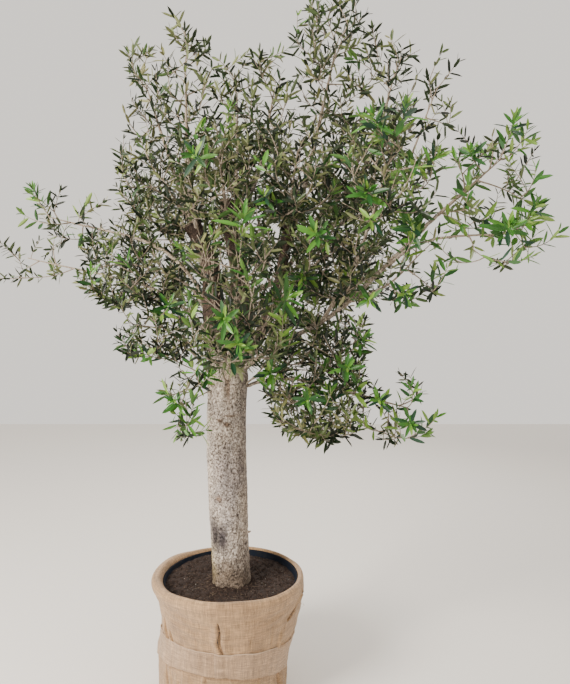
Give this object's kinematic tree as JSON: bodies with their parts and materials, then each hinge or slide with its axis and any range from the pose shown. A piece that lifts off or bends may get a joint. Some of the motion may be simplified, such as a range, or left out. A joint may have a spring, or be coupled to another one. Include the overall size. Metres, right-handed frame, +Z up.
{
  "type": "potted olive tree",
  "caption": "Pollarded olive tree with a straight bare trunk and an open airy crown, in a round tub dressed in a burlap wrap with a rolled rim.",
  "frame": {"origin": "centre of the tub's flat underside, on the floor", "axes": "+Z up, -Y towards the front of the tree as it is usually seen, +X to the right seen from the front"},
  "size_m": [2.2374, 1.3964, 2.9133],
  "materials": {
    "trunk_bark": "rough pale grey-beige bark with dense dark pits",
    "bough_bark": "rough grey-brown bark, paler on the thin limbs",
    "foliage": "narrow leaves, dark grey-green above and silvery beneath, bright green new growth",
    "burlap": "coarse plain-woven jute",
    "tub": "smooth dark nursery plastic",
    "soil": "dark brown crumbly potting soil"
  },
  "bodies": {
    "root": {"tub": "tub", "soil": "soil", "burlap_wrap": "burlap", "burlap_band": "burlap", "trunk": "trunk_bark", "bough_left": "bough_bark", "bough_middle": "bough_bark", "bough_right": "bough_bark", "bough_back": "bough_bark", "bough_front": "bough_bark", "bough_right_long": "bough_bark", "limb_top_left_outer": "bough_bark", "limb_top_left": "bough_bark", "limb_top_middle": "bough_bark", "limb_top_inner": "bough_bark", "limb_top_peak": "bough_bark", "limb_right_far": "bough_bark", "limb_top_right": "bough_bark", "limb_spur_right": "bough_bark", "limb_right_middle": "bough_bark", "limb_right_near": "bough_bark", "limb_right_edge": "bough_bark", "limb_shoot_low": "bough_bark", "limb_left_middle": "bough_bark", "limb_shoot_left": "bough_bark", "limb_shoot_left_far": "bough_bark", "limb_right_low_tip": "bough_bark", "limb_back_left": "bough_bark", "limb_back_right": "bough_bark", "foliage_top_left_outer": "foliage", "foliage_top_left": "foliage", "foliage_top_middle": "foliage", "foliage_top_inner": "foliage", "foliage_top_peak": "foliage", "foliage_top_right": "foliage", "foliage_spur_right": "foliage", "foliage_left_high": "foliage", "foliage_middle_high": "foliage", "foliage_right_high": "foliage", "foliage_right_far": "foliage", "foliage_right_near": "foliage", "foliage_left_middle": "foliage", "foliage_shoot_left": "foliage", "foliage_shoot_left_far": "foliage", "foliage_left_low": "foliage", "foliage_middle_front": "foliage", "foliage_right_middle": "foliage", "foliage_shoot_high": "foliage", "foliage_shoot_low": "foliage", "foliage_right_edge": "foliage", "foliage_right_low": "foliage", "foliage_right_low_tip": "foliage", "foliage_hanging_left": "foliage", "foliage_back_left": "foliage", "foliage_back_middle": "foliage", "foliage_back_right": "foliage", "foliage_back_low": "foliage"}
  },
  "joints": []
}
